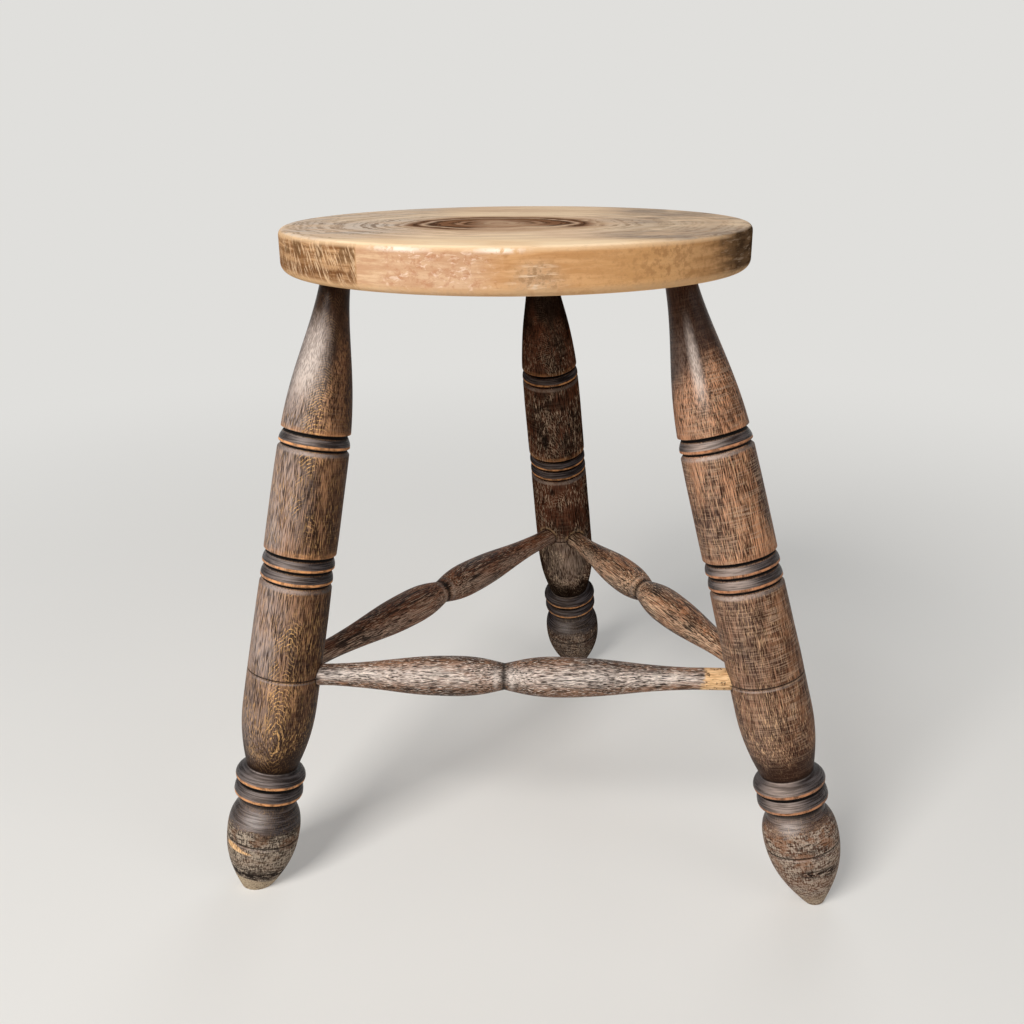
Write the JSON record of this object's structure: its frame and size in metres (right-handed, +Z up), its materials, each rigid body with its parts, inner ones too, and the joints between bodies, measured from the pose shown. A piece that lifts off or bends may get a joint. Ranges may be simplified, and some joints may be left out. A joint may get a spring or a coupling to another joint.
{
  "type": "tripod stool",
  "caption": "Small tripod stool with a round pale plank seat, splayed dark-stained turned legs with beads and bulb feet, and turned stretchers that join the legs in a triangle.",
  "frame": {"origin": "under the middle of the stool's outer box, on the floor plane", "axes": "+Z up through the seat's top, +X to the right and -Y towards the viewer of the picture"},
  "size_m": [0.3418, 0.3264, 0.3576],
  "materials": {
    "seat_wood": "sanded bare",
    "leg_left_wood": "dark stain, worn",
    "leg_right_wood": "dark stain, worn",
    "leg_back_wood": "dark stain, worn",
    "stretcher_front_wood": "dark stain, worn",
    "stretcher_left_wood": "dark stain, worn",
    "stretcher_right_wood": "dark stain, worn"
  },
  "bodies": {
    "root": {"seat": "seat_wood", "leg_left": "leg_left_wood", "leg_right": "leg_right_wood", "leg_back": "leg_back_wood", "stretcher_front": "stretcher_front_wood", "stretcher_left": "stretcher_left_wood", "stretcher_right": "stretcher_right_wood"}
  },
  "joints": []
}
